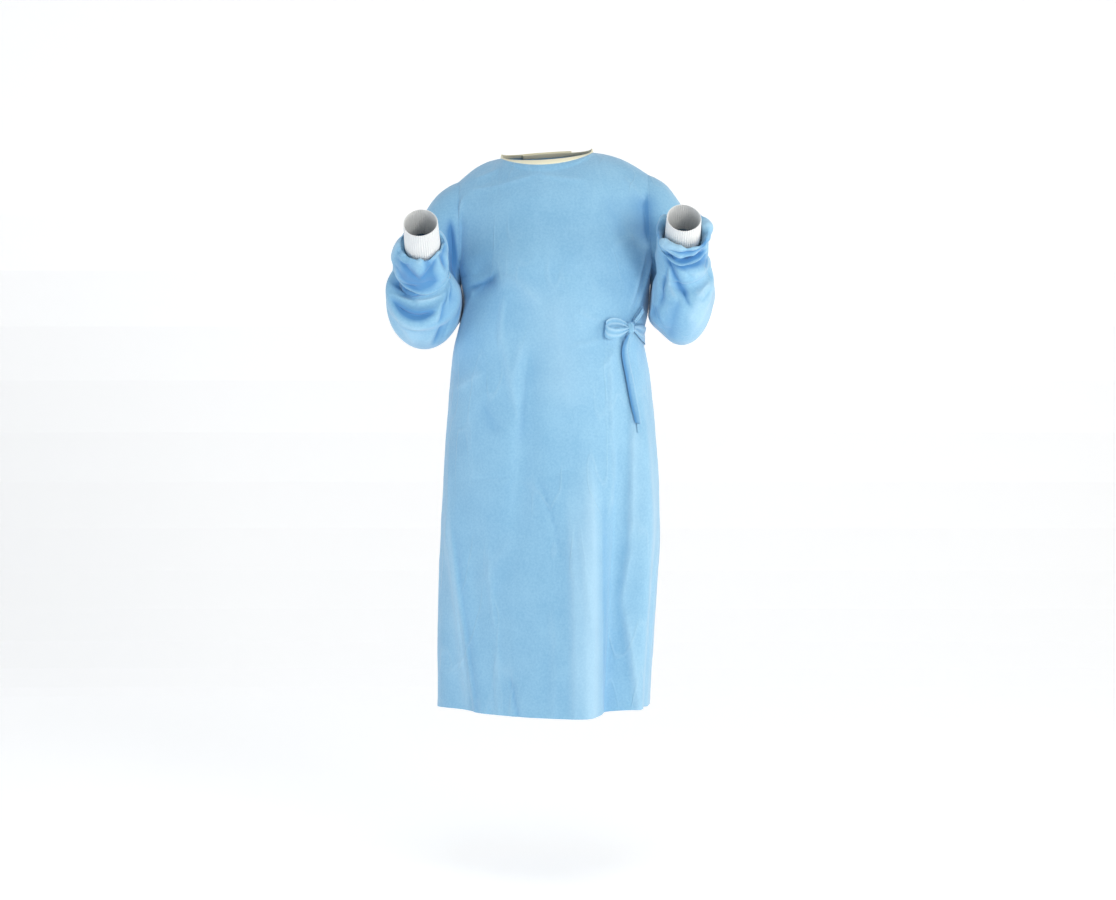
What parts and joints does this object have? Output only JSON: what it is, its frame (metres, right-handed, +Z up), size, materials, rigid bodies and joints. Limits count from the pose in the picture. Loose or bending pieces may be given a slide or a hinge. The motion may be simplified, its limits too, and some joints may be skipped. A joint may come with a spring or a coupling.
{
  "type": "surgical gown",
  "caption": "Loose long-sleeved surgical gown with knitted cuffs, a bound neckline, a back that wraps over and a waist tie in a bow, held open as it is worn with bent arms.",
  "frame": {"origin": "middle of the neck opening, level with the tops of the shoulders, where the wearer's neck and shoulders carry the gown", "axes": "+Z up, -Y towards the front of the gown, +X towards the wearer's left"},
  "size_m": [0.6924, 0.492, 1.2019],
  "materials": {
    "gown_cloth": "soft matt nonwoven",
    "cuff_knit": "ribbed knit",
    "binding_tape": "folded tape",
    "tab_tape": "hook-and-loop tape"
  },
  "bodies": {
    "root": {"front_panel": "gown_cloth", "back_panel_left": "gown_cloth", "back_panel_right": "gown_cloth", "sleeve_left": "gown_cloth", "sleeve_right": "gown_cloth", "cuff_left": "cuff_knit", "cuff_right": "cuff_knit", "neck_binding": "binding_tape", "neck_tab": "tab_tape", "waist_tie_strap": "gown_cloth", "tie_knot": "gown_cloth", "tie_loop_front": "gown_cloth", "tie_loop_side": "gown_cloth", "tie_tail_front": "gown_cloth", "tie_tail_side": "gown_cloth"}
  },
  "joints": []
}
